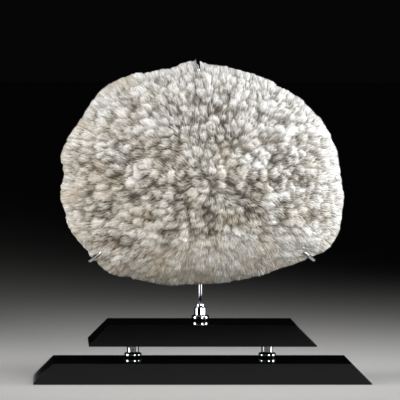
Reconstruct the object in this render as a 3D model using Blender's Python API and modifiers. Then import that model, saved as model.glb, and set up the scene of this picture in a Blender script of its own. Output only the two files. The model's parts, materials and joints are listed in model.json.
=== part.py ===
# Mushroom coral held upright by three chrome claws on a stepped black stand.
# Metres, +Z up. The origin is the centre of the lower slab's underside, and the coral's dome faces -Y.

import math
import random

import bmesh
import bpy
import numpy as np
from mathutils import Matrix, Vector
from mathutils.bvhtree import BVHTree
from mathutils.geometry import delaunay_2d_cdt

# Free space left between pieces that touch in the real object
GAP = 0.0003

# Stand: two slabs with ends cut at 45 degrees, the upper one on two spacers
SLAB_THICKNESS = 0.025
SLAB_DEPTH = 0.115
SLAB_END_LAND = 0.0015
SLAB_EDGE = 0.0007
LOWER_LENGTH = 0.392
UPPER_LENGTH = 0.264
SPACER_HEIGHT = 0.019
SPACER_X = 0.079
TURNED_BODY_RADIUS = 0.007
FLANGE_RADIUS = 0.0105
FLANGE_HEIGHT = 0.006
FLANGE_ROUNDING = 0.0024
TURNED_SIDES = 24

# Hub, post and claws, all in one upright plane behind the coral
POST_Y = 0.023
POST_RADIUS = 0.002
HUB_BODY_TOP = 0.0147
HUB_COLLAR_RADIUS = 0.0047
HUB_COLLAR_HEIGHT = 0.0042
HUB_BORE_DEPTH = 0.012
KNUCKLE_Z = 0.243
KNUCKLE_RADIUS = 0.010
KNUCKLE_THICKNESS = 0.009
KNUCKLE_EDGE = 0.0015
CLAW_RADIUS = 0.0022
CLAW_TIP_SHARE = 0.5
CLAW_TAPER_POINTS = 4
CLAW_ANGLES = {"claw_top": 92.0, "claw_left": 218.5, "claw_right": -37.5}
CLAW_CLEARANCE = 0.0006
CLAW_STEPS = 3

# A claw's bend, from behind the rim to its tip: distance out from the rim, and Y
CLAW_HOOK = [
    (-0.0150, 0.0230), (-0.0060, 0.0226), (0.0004, 0.0200), (0.0027, 0.0140),
    (0.0010, 0.0070), (-0.0038, 0.0002), (-0.0090, -0.0055), (-0.0135, -0.0100),
]

# Coral: a dome of half an ellipse, seen face on as the outline below
CORAL_X = 0.0005
CORAL_Z = 0.243
MOUTH_SHIFT_X = 0.009
MOUTH_SHIFT_Z = -0.006
RIM_Y = 0.014
DOME_HEIGHT = 0.070
HOLLOW_HEIGHT = 0.057
RIM_WALL = 0.009
RIM_ROUNDING = 0.0025
RIM_TURN = math.radians(80.0)
MEAN_RADIUS = 0.152
OUTLINE_SMOOTHING = 3.0

# Radius of the outline from the coral's centre, in metres, by angle in degrees from +X towards +Z
OUTLINE = {
    0: 0.165, 12: 0.1615, 24: 0.155, 36: 0.1475, 44: 0.1415, 49: 0.136, 53: 0.137, 62: 0.1325, 72: 0.1295,
    86: 0.1285, 93: 0.134, 98: 0.1335, 107: 0.1285, 114: 0.1325, 120: 0.136, 127: 0.1445, 132: 0.147,
    137: 0.152, 144: 0.155, 156: 0.156, 164: 0.162, 171: 0.168, 176: 0.166, 181: 0.1625, 186: 0.167,
    191: 0.170, 196: 0.1675, 203: 0.170, 209: 0.1675, 214: 0.1645, 219: 0.163, 225: 0.164, 231: 0.158,
    237: 0.149, 242: 0.1465, 250: 0.1415, 262: 0.134, 276: 0.132, 290: 0.1345, 300: 0.141, 308: 0.1455,
    314: 0.1535, 321: 0.1595, 327: 0.1755, 335: 0.1785, 342: 0.1745, 350: 0.172,
}

# Broad bends of the plate: waves round the rim, height in metres, and phase in radians
FOLDS = [(2, 0.0010, 0.4), (3, 0.0009, 1.9), (5, 0.0006, 0.3)]

# Tufts of septa: irregular lumps, short and wide round the mouth, long and narrow towards the rim
TUFT_SEED = 11
TUFT_TRIES = 30000
TUFT_OUTERMOST = 0.985
TUFT_SPACING = 0.88
TUFT_SHARES = [0.0, 0.3, 0.55, 0.8, 1.0]
TUFT_HALF_LENGTHS = [0.0048, 0.0052, 0.0062, 0.0084, 0.0115]
TUFT_HALF_WIDTHS = [0.0058, 0.0060, 0.0055, 0.0049, 0.0045]
TUFT_LENGTH_RANGE = (0.78, 1.2)
TUFT_WIDTH_RANGE = (0.72, 1.3)

# Relief, as depths below the dome
PEAK_VARIATION = 0.0020
VALLEY_DEPTH = 0.0048
VALLEY_RANGE = (0.75, 1.25)
RIM_RELIEF_SHARE = 0.6
RIM_SERRATION = 0.0012
SERRATION_RANGE = (0.6, 1.4)
RIM_POINTS = 150

# Back of the coral: points round each ring of the hollow, by share of the way out
BACK_RINGS = {0.87: 66, 0.74: 58, 0.60: 48, 0.45: 36, 0.30: 24, 0.14: 10}
BACK_RIB = 0.0008


def start_clean():
    for item in list(bpy.data.objects):
        bpy.data.objects.remove(item)


def make_collection(name):
    collection = bpy.data.collections.new(name)
    bpy.context.scene.collection.children.link(collection)
    return collection


def make_material(name, color, roughness, metallic=0.0):
    material = bpy.data.materials.new(name)
    material.use_nodes = True
    shader = material.node_tree.nodes["Principled BSDF"]
    shader.inputs["Base Color"].default_value = (*color, 1.0)
    shader.inputs["Roughness"].default_value = roughness
    shader.inputs["Metallic"].default_value = metallic
    return material


def add_mesh_object(name, mesh, collection, material):
    item = bpy.data.objects.new(name, mesh)
    collection.objects.link(item)
    mesh.materials.clear()
    mesh.materials.append(material)
    return item


def curve_to_mesh(curve, matrix=None):
    """Turn a filled or bevelled curve into a closed mesh in the object's own place."""
    holder = bpy.data.objects.new("curve_holder", curve)
    bpy.context.scene.collection.objects.link(holder)
    graph = bpy.context.evaluated_depsgraph_get()
    mesh = bpy.data.meshes.new_from_object(holder.evaluated_get(graph))
    bpy.data.objects.remove(holder)
    bpy.data.curves.remove(curve)
    work = bmesh.new()
    work.from_mesh(mesh)
    bmesh.ops.remove_doubles(work, verts=work.verts, dist=0.00001)
    if matrix is not None:
        work.transform(matrix)
    bmesh.ops.recalc_face_normals(work, faces=work.faces)
    work.to_mesh(mesh)
    work.free()
    return mesh


# Stand

def make_slab(name, length, bottom, collection, material):
    """A slab seen from the front as a low trapezium with a small upright land at each end."""
    half = length / 2
    run = SLAB_THICKNESS - SLAB_END_LAND
    outline = [
        (-half, 0.0), (half, 0.0), (half, SLAB_END_LAND),
        (half - run, SLAB_THICKNESS), (-half + run, SLAB_THICKNESS), (-half, SLAB_END_LAND),
    ]
    curve = bpy.data.curves.new(name, "CURVE")
    curve.dimensions = "2D"
    curve.fill_mode = "BOTH"
    curve.extrude = SLAB_DEPTH / 2
    spline = curve.splines.new("POLY")
    spline.points.add(len(outline) - 1)
    for point, (x, z) in zip(spline.points, outline):
        point.co = (x, z, 0.0, 1.0)
    spline.use_cyclic_u = True
    upright = Matrix.Translation((0.0, 0.0, bottom)) @ Matrix.Rotation(math.radians(90.0), 4, "X")
    mesh = curve_to_mesh(curve, upright)
    mesh.name = name
    slab = add_mesh_object(name, mesh, collection, material)
    bevel = slab.modifiers.new("edges", "BEVEL")
    bevel.width = SLAB_EDGE
    bevel.segments = 1
    bevel.limit_method = "ANGLE"
    return slab


def rounded_flange(radius, height):
    """Outer side of a flange with rounded edges, from its top to its underside."""
    inner = radius - FLANGE_ROUNDING
    steps = [0.0, 30.0, 60.0, 90.0]
    upper = [(inner + FLANGE_ROUNDING * math.sin(math.radians(a)),
              height - FLANGE_ROUNDING * (1 - math.cos(math.radians(a)))) for a in steps]
    lower = [(x, height - z) for x, z in reversed(upper)]
    return upper + lower


def make_turned(name, profile, collection, material):
    """Turn a profile, listed top to bottom down its outer side, round the Z axis."""
    mesh = bpy.data.meshes.new(name)
    edges = [(i, i + 1) for i in range(len(profile) - 1)]
    mesh.from_pydata([(x, 0.0, z) for x, z in profile], edges, [])
    item = add_mesh_object(name, mesh, collection, material)
    screw = item.modifiers.new("turn", "SCREW")
    screw.steps = TURNED_SIDES
    screw.render_steps = TURNED_SIDES
    screw.use_merge_vertices = True
    screw.merge_threshold = 0.00001
    return item


def make_spacer(name, x, bottom, collection, material):
    height = SPACER_HEIGHT - 2 * GAP
    profile = [(0.0, height), (TURNED_BODY_RADIUS, height), (TURNED_BODY_RADIUS, FLANGE_HEIGHT)]
    profile += rounded_flange(FLANGE_RADIUS, FLANGE_HEIGHT)
    profile += [(0.0, 0.0)]
    spacer = make_turned(name, profile, collection, material)
    spacer.location = (x, POST_Y, bottom + GAP)
    return spacer


def make_hub(bottom, collection, material):
    """Flanged socket with a collar and a blind bore that takes the post."""
    collar_top = HUB_BODY_TOP + HUB_COLLAR_HEIGHT
    bore_radius = POST_RADIUS + GAP
    bore_bottom = collar_top - HUB_BORE_DEPTH
    profile = [(0.0, bore_bottom), (bore_radius, bore_bottom), (bore_radius, collar_top)]
    profile += [(HUB_COLLAR_RADIUS, collar_top), (HUB_COLLAR_RADIUS, HUB_BODY_TOP)]
    profile += [(TURNED_BODY_RADIUS, HUB_BODY_TOP), (TURNED_BODY_RADIUS, FLANGE_HEIGHT)]
    profile += rounded_flange(FLANGE_RADIUS, FLANGE_HEIGHT)
    profile += [(0.0, 0.0)]
    hub = make_turned("hub", profile, collection, material)
    hub.location = (0.0, POST_Y, bottom + GAP)
    return hub


def make_post(hub_bottom, collection, material):
    collar_top = HUB_BODY_TOP + HUB_COLLAR_HEIGHT
    low = hub_bottom + GAP + collar_top - HUB_BORE_DEPTH + GAP
    high = KNUCKLE_Z - KNUCKLE_RADIUS - GAP
    mesh = bpy.data.meshes.new("post")
    work = bmesh.new()
    bmesh.ops.create_cone(
        work, cap_ends=True, segments=12, radius1=POST_RADIUS, radius2=POST_RADIUS, depth=high - low)
    work.to_mesh(mesh)
    work.free()
    post = add_mesh_object("post", mesh, collection, material)
    post.location = (0.0, POST_Y, (low + high) / 2)
    return post


def make_knuckle(collection, material):
    """Round-edged disc, its axis along Y, that the post and the claws end on."""
    half, edge = KNUCKLE_THICKNESS / 2, KNUCKLE_EDGE
    profile = [(0.0, half), (KNUCKLE_RADIUS - edge, half), (KNUCKLE_RADIUS, half - edge)]
    profile += [(KNUCKLE_RADIUS, edge - half), (KNUCKLE_RADIUS - edge, -half), (0.0, -half)]
    knuckle = make_turned("knuckle", profile, collection, material)
    knuckle.location = (0.0, POST_Y, KNUCKLE_Z)
    knuckle.rotation_euler = (math.radians(90.0), 0.0, 0.0)
    return knuckle


# Coral

def outline_radius(angle):
    """Radius of the coral's outline, its corners eased by averaging either side of the angle."""
    degrees = math.degrees(angle)
    around = [degrees - OUTLINE_SMOOTHING, degrees, degrees + OUTLINE_SMOOTHING]
    before, here, after = np.interp(around, list(OUTLINE), list(OUTLINE.values()), period=360.0)
    return 0.25 * before + 0.5 * here + 0.25 * after


def turn_table():
    """Turn of the dome's curve at equal shares of its length, from the middle to the rim."""
    turns = np.linspace(0.0, RIM_TURN, 200)
    wide = MEAN_RADIUS / math.sin(RIM_TURN)
    tall = DOME_HEIGHT / (1 - math.cos(RIM_TURN))
    speed = np.hypot(wide * np.cos(turns), tall * np.sin(turns))
    length = np.concatenate([[0.0], np.cumsum((speed[1:] + speed[:-1]) / 2 * turns[1])])
    return turns, length / length[-1], length[-1]


TURNS, SHARES, DOME_LENGTH = turn_table()


def reach_at(share):
    """Share of the outline's radius that is reached at a share of the way along the curve."""
    return np.sin(np.interp(share, SHARES, TURNS)) / math.sin(RIM_TURN)


def shell_point(u, v, height=DOME_HEIGHT, wall=0.0):
    """A point of the dome, or of the hollow behind it, from its place (u, v) on the unit disc."""
    share = math.hypot(u, v)
    angle = math.atan2(v, u)
    turn = np.interp(share, SHARES, TURNS)
    reach = math.sin(turn) / math.sin(RIM_TURN)
    rise = (math.cos(turn) - math.cos(RIM_TURN)) / (1 - math.cos(RIM_TURN))
    radius = reach * (outline_radius(angle) - wall)
    inner = 1 - reach ** 2
    fold = sum(size * math.sin(waves * angle + phase) for waves, size, phase in FOLDS) * reach ** 2
    return Vector((
        CORAL_X + MOUTH_SHIFT_X * inner + radius * math.cos(angle),
        RIM_Y - height * rise + fold,
        CORAL_Z + MOUTH_SHIFT_Z * inner + radius * math.sin(angle),
    ))


def shell_normal(u, v, **shell):
    """The direction that points out of the dome's front."""
    step = 0.004
    share = math.hypot(u, v)
    if share > 1 - step:
        u, v = u * (1 - step) / share, v * (1 - step) / share
    along_u = shell_point(u + step, v, **shell) - shell_point(u - step, v, **shell)
    along_v = shell_point(u, v + step, **shell) - shell_point(u, v - step, **shell)
    return along_u.cross(along_v).normalized()


def tuft_places():
    """Places and heights of the tufts, thrown at random and kept where they have room."""
    rng = np.random.default_rng(TUFT_SEED)
    share = np.sqrt(rng.random(TUFT_TRIES)) * TUFT_OUTERMOST
    angle = rng.uniform(-math.pi, math.pi, TUFT_TRIES)
    half_length = np.interp(share, TUFT_SHARES, TUFT_HALF_LENGTHS)
    half_length = half_length * rng.uniform(*TUFT_LENGTH_RANGE, TUFT_TRIES)
    half_width = np.interp(share, TUFT_SHARES, TUFT_HALF_WIDTHS)
    half_width = half_width * rng.uniform(*TUFT_WIDTH_RANGE, TUFT_TRIES)
    rise = rng.random(TUFT_TRIES)
    rows = np.stack([share, angle, half_length, half_width, rise], axis=1)
    kept = rows[:1]
    for row in rows[1:]:
        ahead = (row[0] - kept[:, 0]) * DOME_LENGTH
        turn = (row[1] - kept[:, 1] + math.pi) % (2 * math.pi) - math.pi
        around = turn * MEAN_RADIUS * reach_at((row[0] + kept[:, 0]) / 2)
        apart = np.hypot(ahead / (row[2] + kept[:, 2]), around / (row[3] + kept[:, 3]))
        if apart.min() > TUFT_SPACING:
            kept = np.vstack([kept, row])
    return [(s * math.cos(a), s * math.sin(a), r) for s, a, _, _, r in kept]


def make_coral(collection, material):
    """The whole coral: lumpy dome, rounded rim and ribbed hollow, as one closed skin."""
    rng = random.Random(TUFT_SEED)
    tufts = tuft_places()
    first_rim = len(tufts)
    rim_angles = [2 * math.pi * i / RIM_POINTS for i in range(RIM_POINTS)]
    rim_places = [(math.cos(a), math.sin(a)) for a in rim_angles]
    spots = [(u, v) for u, v, _ in tufts] + rim_places
    verts, _, faces, _, _, _ = delaunay_2d_cdt([Vector(p) for p in spots], [], [], 0, 0.00001)
    work = bmesh.new()

    # Front: a peak at each tuft and a valley half way to each of its neighbours
    def lowered(u, v, depth):
        depth *= 1 - (1 - RIM_RELIEF_SHARE) * math.hypot(u, v) ** 4
        return work.verts.new(shell_point(u, v) - shell_normal(u, v) * depth)

    points = [lowered(u, v, PEAK_VARIATION * rise) for u, v, rise in tufts]
    for i, (u, v) in enumerate(rim_places):
        serration = RIM_SERRATION * (i % 2) * rng.uniform(*SERRATION_RANGE)
        points.append(work.verts.new(shell_point(u, v) - Vector((u, 0.0, v)) * serration))
    valleys = {}
    for face in faces:
        loop = []
        for a, b in zip(face, face[1:] + face[:1]):
            key = (min(a, b), max(a, b))
            on_rim = a >= first_rim and b >= first_rim
            if key not in valleys and not on_rim:
                middle = (verts[a] + verts[b]) / 2
                depth = VALLEY_DEPTH * rng.uniform(*VALLEY_RANGE)
                valleys[key] = lowered(middle.x, middle.y, depth)
            loop += [points[a], valleys.get(key)]
        for i in (0, 2, 4):
            before, corner, after = loop[i - 1], loop[i], loop[i + 1]
            if before and after:
                work.faces.new([before, corner, after])
        inner = [loop[i] for i in (1, 3, 5) if loop[i]]
        if len(inner) == 3:
            work.faces.new(inner)
        else:
            flat = loop.index(None)
            ring = [loop[(flat + k) % 6] for k in range(1, 6)]
            work.faces.new([ring[0], ring[1], ring[3], ring[4]])
    front_rim = points[first_rim:first_rim + RIM_POINTS]

    # Rim: one rounded step back, then the edge of the hollow
    shape = {"height": HOLLOW_HEIGHT, "wall": RIM_WALL}
    edge = [work.verts.new(shell_point(u, v, wall=RIM_WALL / 2) + Vector((0.0, RIM_ROUNDING, 0.0)))
            for u, v in rim_places]
    back_spots = list(rim_places)
    back_points = [work.verts.new(shell_point(u, v, **shape)) for u, v in rim_places]
    for i in range(RIM_POINTS):
        j = (i + 1) % RIM_POINTS
        work.faces.new([front_rim[i], front_rim[j], edge[j], edge[i]])
        work.faces.new([edge[i], edge[j], back_points[j], back_points[i]])

    # Hollow: rings of points, raised and lowered in turn as radial ribs
    for ring, (share, count) in enumerate(BACK_RINGS.items()):
        for i in range(count):
            angle = 2 * math.pi * (i + ring % 2 / 2) / count
            u, v = share * math.cos(angle), share * math.sin(angle)
            rib = BACK_RIB if i % 2 else -BACK_RIB
            back_spots.append((u, v))
            back_points.append(work.verts.new(shell_point(u, v, **shape) + Vector((0.0, rib, 0.0))))
    back_spots.append((0.0, 0.0))
    back_points.append(work.verts.new(shell_point(0.0, 0.0, **shape)))
    _, _, back_faces, _, _, _ = delaunay_2d_cdt([Vector(p) for p in back_spots], [], [], 0, 0.00001)
    for face in back_faces:
        work.faces.new([back_points[k] for k in face])

    bmesh.ops.recalc_face_normals(work, faces=work.faces)
    bmesh.ops.triangulate(work, faces=work.faces)
    mesh = bpy.data.meshes.new("coral")
    work.to_mesh(mesh)
    tree = BVHTree.FromBMesh(work)
    work.free()
    return add_mesh_object("coral", mesh, collection, material), tree


# Claws

def smooth_through(points, steps):
    """Points on a smooth curve through the given ones, the same number of steps in each span."""
    path = []
    count = len(points)
    for i in range(count - 1):
        p0 = points[max(i - 1, 0)]
        p1, p2 = points[i], points[i + 1]
        p3 = points[min(i + 2, count - 1)]
        for k in range(steps):
            t = k / steps
            path.append(0.5 * (2 * p1 + (p2 - p0) * t + (2 * p0 - 5 * p1 + 4 * p2 - p3) * t ** 2
                               + (3 * p1 - p0 - 3 * p2 + p3) * t ** 3))
    return path + [points[-1]]


def clear_of(tree, point, distance):
    """Move a point that lies outside the coral until it is at least this distance from its skin."""
    for _ in range(3):
        near, _, _, gap = tree.find_nearest(point)
        if gap < distance:
            point = near + (point - near).normalized() * distance
    return point


def slimness(points_left):
    """Share of the wire's full radius at a point, by the number of points left to its tip."""
    return 1.0 - (1.0 - CLAW_TIP_SHARE) * max(0.0, 1.0 - points_left / CLAW_TAPER_POINTS)


def claw_path(angle_degrees, tree):
    """Centre line of a claw: out from the knuckle behind the coral, round the rim and onto the front."""
    angle = math.radians(angle_degrees)
    out = Vector((math.cos(angle), 0.0, math.sin(angle)))
    rim = outline_radius(angle) + CORAL_X * math.cos(angle)
    centre = Vector((0.0, 0.0, KNUCKLE_Z))
    hook = [centre + out * (rim + distance) + Vector((0.0, y, 0.0)) for distance, y in CLAW_HOOK]
    bend = smooth_through(hook, CLAW_STEPS)
    bend = [clear_of(tree, point, CLAW_RADIUS * slimness(len(bend) - 1 - i) + CLAW_CLEARANCE)
            for i, point in enumerate(bend)]
    start = centre + out * (KNUCKLE_RADIUS + GAP) + Vector((0.0, POST_Y, 0.0))
    return [start] + bend


def make_claw(name, angle, tree, collection, material):
    path = claw_path(angle, tree)
    curve = bpy.data.curves.new(name, "CURVE")
    curve.dimensions = "3D"
    curve.bevel_depth = CLAW_RADIUS
    curve.bevel_resolution = 3
    curve.use_fill_caps = True
    spline = curve.splines.new("POLY")
    spline.points.add(len(path) - 1)
    last = len(path) - 1
    for i, (point, place) in enumerate(zip(spline.points, path)):
        point.co = (*place, 1.0)
        point.radius = slimness(last - i)
    mesh = curve_to_mesh(curve)
    mesh.name = name
    return add_mesh_object(name, mesh, collection, material)


def shade_round(item):
    item.data.shade_smooth()
    item.data.set_sharp_from_angle(angle=math.radians(40.0))


def main():
    start_clean()
    collection = make_collection("mushroom_coral")
    black = make_material("black_acrylic", (0.006, 0.006, 0.007), 0.05)
    chrome = make_material("chrome_plate", (0.80, 0.80, 0.81), 0.08, 1.0)
    coral_white = make_material("bleached_coral", (0.66, 0.62, 0.55), 0.85)

    upper_bottom = SLAB_THICKNESS + SPACER_HEIGHT
    upper_top = upper_bottom + SLAB_THICKNESS
    make_slab("base_lower", LOWER_LENGTH, 0.0, collection, black)
    make_slab("base_upper", UPPER_LENGTH, upper_bottom, collection, black)
    turned = [
        make_spacer("spacer_left", -SPACER_X, SLAB_THICKNESS, collection, chrome),
        make_spacer("spacer_right", SPACER_X, SLAB_THICKNESS, collection, chrome),
        make_hub(upper_top, collection, chrome),
        make_post(upper_top, collection, chrome),
        make_knuckle(collection, chrome),
    ]
    _, tree = make_coral(collection, coral_white)
    claws = [make_claw(name, angle, tree, collection, chrome) for name, angle in CLAW_ANGLES.items()]
    for item in turned + claws:
        shade_round(item)


main()
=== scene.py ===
import json
import math

import bmesh
import bpy
import numpy as np
from mathutils import Matrix, Vector, noise
from mathutils.bvhtree import BVHTree

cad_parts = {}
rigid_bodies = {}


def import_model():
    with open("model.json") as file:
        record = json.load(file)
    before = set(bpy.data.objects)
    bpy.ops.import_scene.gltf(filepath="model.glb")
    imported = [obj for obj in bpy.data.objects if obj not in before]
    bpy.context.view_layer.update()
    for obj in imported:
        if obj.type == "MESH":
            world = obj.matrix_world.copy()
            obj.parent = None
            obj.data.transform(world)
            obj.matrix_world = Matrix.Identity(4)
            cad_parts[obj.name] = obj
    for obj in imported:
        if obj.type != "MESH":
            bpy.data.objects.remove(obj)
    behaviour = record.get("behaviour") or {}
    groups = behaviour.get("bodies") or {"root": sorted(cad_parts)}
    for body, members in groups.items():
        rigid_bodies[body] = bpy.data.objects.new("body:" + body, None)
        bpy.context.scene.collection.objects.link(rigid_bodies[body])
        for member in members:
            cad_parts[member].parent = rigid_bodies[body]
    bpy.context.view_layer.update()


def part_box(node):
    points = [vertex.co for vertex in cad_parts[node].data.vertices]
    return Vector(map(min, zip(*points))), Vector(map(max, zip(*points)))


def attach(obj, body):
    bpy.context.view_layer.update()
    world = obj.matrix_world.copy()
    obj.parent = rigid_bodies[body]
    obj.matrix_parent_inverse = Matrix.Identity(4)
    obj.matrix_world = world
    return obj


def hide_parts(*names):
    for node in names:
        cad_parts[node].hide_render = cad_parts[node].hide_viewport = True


# Mushroom coral on a black acrylic stand, held by chrome claws.
# Metres, +Z up, the dome faces -Y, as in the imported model.

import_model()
scene = bpy.context.scene
mm = 0.001


def srgb(hexColor):
    parts = [int(hexColor[i:i + 2], 16) / 255 for i in (1, 3, 5)]
    return tuple(c / 12.92 if c <= 0.04045 else ((c + 0.055) / 1.055) ** 2.4 for c in parts) + (1.0,)


def addNode(tree, kind, settings=None, links=None):
    node = tree.nodes.new(kind)
    for key, value in (settings or {}).items():
        if isinstance(key, int) or key in node.inputs:
            node.inputs[key].default_value = value
        else:
            setattr(node, key, value)
    for key, source in (links or {}).items():
        tree.links.new(source, node.inputs[key])
    return node


def calc(tree, operation, *values, clamp=False):
    # A math node, its inputs given as numbers or as sockets
    numbers = {i: value for i, value in enumerate(values) if isinstance(value, (int, float))}
    sockets = {i: value for i, value in enumerate(values) if i not in numbers}
    settings = {"operation": operation, "use_clamp": clamp, **numbers}
    return addNode(tree, "ShaderNodeMath", settings, sockets).outputs[0]


def noiseOver(tree, coords, scale, detail):
    settings = {"Scale": scale, "Detail": detail}
    return addNode(tree, "ShaderNodeTexNoise", settings, {"Vector": coords}).outputs[0]


def newMaterial(name, settings):
    material = bpy.data.materials.new(name)
    material.use_nodes = True
    tree = material.node_tree
    shader = tree.nodes["Principled BSDF"]
    for key, value in settings.items():
        shader.inputs[key].default_value = value
    return material, tree, shader


def addRamp(tree, source, stops):
    ramp = addNode(tree, "ShaderNodeValToRGB", links={"Fac": source})
    elements = ramp.color_ramp.elements
    while len(elements) < len(stops):
        elements.new(0.5)
    for element, (place, hexColor) in zip(elements, stops):
        element.position = place
        element.color = srgb(hexColor)
    return ramp.outputs["Color"]


def linkObject(name, mesh, material=None):
    item = bpy.data.objects.new(name, mesh)
    scene.collection.objects.link(item)
    if material:
        mesh.materials.clear()
        mesh.materials.append(material)
    return item


def newMesh(name, points, faces):
    mesh = bpy.data.meshes.new(name)
    mesh.from_pydata(points, [], faces)
    return mesh


def finalMesh(holder, name):
    # The mesh that the holder's modifiers or bevel make, in place of the holder
    graph = bpy.context.evaluated_depsgraph_get()
    mesh = bpy.data.meshes.new_from_object(holder.evaluated_get(graph))
    bpy.data.objects.remove(holder)
    mesh.name = name
    return mesh


def smoothUnder(mesh, degrees):
    mesh.shade_smooth()
    mesh.set_sharp_from_angle(angle=math.radians(degrees))


def storeValues(mesh, name, values, kind="FLOAT", field="value"):
    values = np.asarray(values, np.int32 if kind == "INT" else np.float32).ravel()
    mesh.attributes.new(name, kind, "POINT").data.foreach_set(field, values)


def faceOutward(mesh, merge=0.0):
    # All faces turned outward, after joining points nearer than the merge distance
    work = bmesh.new()
    work.from_mesh(mesh)
    if merge:
        bmesh.ops.remove_doubles(work, verts=work.verts, dist=merge)
    bmesh.ops.recalc_face_normals(work, faces=work.faces)
    work.to_mesh(mesh)
    work.free()


def noiseAt(points, size, shift=0.0):
    # Smooth noise with bumps about as large as the size; a shift gives other noise
    return np.array([noise.noise(Vector(p) / size + Vector((shift, shift, shift))) for p in points])


def unit(vectors):
    return vectors / np.maximum(np.linalg.norm(vectors, axis=-1, keepdims=True), 1e-9)


def halfTurns(angle):
    # The same direction, given between minus and plus half a turn
    return (angle + math.pi) % (2 * math.pi) - math.pi


# Camera, worked out from the corners of the stand's slabs

view = {
    "place": (-0.1854, -4.2807, 0.3861),
    "turn": -2.457,  # degrees to the left of straight ahead
    "pitch": -2.336,  # degrees up
    "roll": 0.21,
    "lens": 330.5,  # millimetres on a 36 mm sensor
}


def makeCamera():
    data = bpy.data.cameras.new("photoCamera")
    data.lens = view["lens"]
    data.sensor_width = 36.0
    data.clip_end = 50.0
    camera = linkObject("photoCamera", data)
    turn = Matrix.Rotation(math.radians(view["turn"]), 4, "Z")
    pitch = Matrix.Rotation(math.radians(90.0 + view["pitch"]), 4, "X")
    roll = Matrix.Rotation(math.radians(view["roll"]), 4, "Z")
    camera.matrix_world = Matrix.Translation(view["place"]) @ turn @ pitch @ roll
    scene.camera = camera


# The coral's form, from the same rule as its solid

coral = {
    "centre": (0.0005, 0.243),  # x and z
    "mouthShift": (0.009, -0.006),  # the septa's middle lies to one side of the outline's
    "rimY": 0.014,
    "domeHeight": 0.070,
    "hollowHeight": 0.057,
    "rimWall": 0.009,
    "rimTurn": math.radians(80.0),
    "meanRadius": 0.152,
    "smoothing": 3.0,
    "folds": [(2, 0.0010, 0.4), (3, 0.0009, 1.9), (5, 0.0006, 0.3)],
}

# Radius of the outline by angle in degrees, seen from the front
coralOutline = {
    0: 0.165, 12: 0.1615, 24: 0.155, 36: 0.1475, 44: 0.1415, 49: 0.136, 53: 0.137, 62: 0.1325, 72: 0.1295,
    86: 0.1285, 93: 0.134, 98: 0.1335, 107: 0.1285, 114: 0.1325, 120: 0.136, 127: 0.1445, 132: 0.147,
    137: 0.152, 144: 0.155, 156: 0.156, 164: 0.162, 171: 0.168, 176: 0.166, 181: 0.1625, 186: 0.167,
    191: 0.170, 196: 0.1675, 203: 0.170, 209: 0.1675, 214: 0.1645, 219: 0.163, 225: 0.164, 231: 0.158,
    237: 0.149, 242: 0.1465, 250: 0.1415, 262: 0.134, 276: 0.132, 290: 0.1345, 300: 0.141, 308: 0.1455,
    314: 0.1535, 321: 0.1595, 327: 0.1755, 335: 0.1785, 342: 0.1745, 350: 0.172,
}


def outlineRadius(angle):
    degrees = np.degrees(angle)
    total = 0.0
    for shift, share in ((-coral["smoothing"], 0.25), (0.0, 0.5), (coral["smoothing"], 0.25)):
        total = total + share * np.interp(
            degrees + shift, list(coralOutline), list(coralOutline.values()), period=360.0)
    return total


def turnTable():
    turns = np.linspace(0.0, coral["rimTurn"], 200)
    wide = coral["meanRadius"] / math.sin(coral["rimTurn"])
    tall = coral["domeHeight"] / (1 - math.cos(coral["rimTurn"]))
    speed = np.hypot(wide * np.cos(turns), tall * np.sin(turns))
    length = np.concatenate([[0.0], np.cumsum((speed[1:] + speed[:-1]) / 2 * turns[1])])
    return turns, length / length[-1], length[-1]


domeTurns, domeShares, domeLength = turnTable()


def reachAt(share):
    return np.sin(np.interp(share, domeShares, domeTurns)) / math.sin(coral["rimTurn"])


def shellPoints(u, v, height, wall=0.0):
    share = np.hypot(u, v)
    angle = np.arctan2(v, u)
    turn = np.interp(share, domeShares, domeTurns)
    cosRim = math.cos(coral["rimTurn"])
    reach = np.sin(turn) / math.sin(coral["rimTurn"])
    rise = (np.cos(turn) - cosRim) / (1 - cosRim)
    radius = reach * (outlineRadius(angle) - wall)
    inner = 1 - reach ** 2
    fold = sum(size * np.sin(waves * angle + phase) for waves, size, phase in coral["folds"]) * reach ** 2
    x = coral["centre"][0] + coral["mouthShift"][0] * inner + radius * np.cos(angle)
    z = coral["centre"][1] + coral["mouthShift"][1] * inner + radius * np.sin(angle)
    return np.stack([x, coral["rimY"] - height * rise + fold, z], axis=-1)


def frontPoints(share, angle):
    return shellPoints(share * np.cos(angle), share * np.sin(angle), coral["domeHeight"])


def ringRadius(share):
    return coral["meanRadius"] * reachAt(share)


def shellFrames(u, v, height, wall=0.0):
    # Place, outward normal and the two directions of growing u and v
    step = 0.004
    share = np.maximum(np.hypot(u, v), 1e-9)
    pull = np.minimum(1.0, (1 - step) / share)
    a, b = u * pull, v * pull
    du = shellPoints(a + step, b, height, wall) - shellPoints(a - step, b, height, wall)
    dv = shellPoints(a, b + step, height, wall) - shellPoints(a, b - step, height, wall)
    du, dv = du / (2 * step), dv / (2 * step)
    return shellPoints(u, v, height, wall), unit(np.cross(du, dv)), du, dv


def leaning(up, du, dv, angle, turn):
    # The direction along a septum that turns away from its ray
    column = angle[:, None]
    radial = unit(du * np.cos(column) + dv * np.sin(column))
    side = np.cross(up, radial)
    return radial * np.cos(turn)[:, None] + side * np.sin(turn)[:, None]


# Tufts of septa: irregular bundles, short and wide by the mouth, long and narrow by the rim

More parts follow.
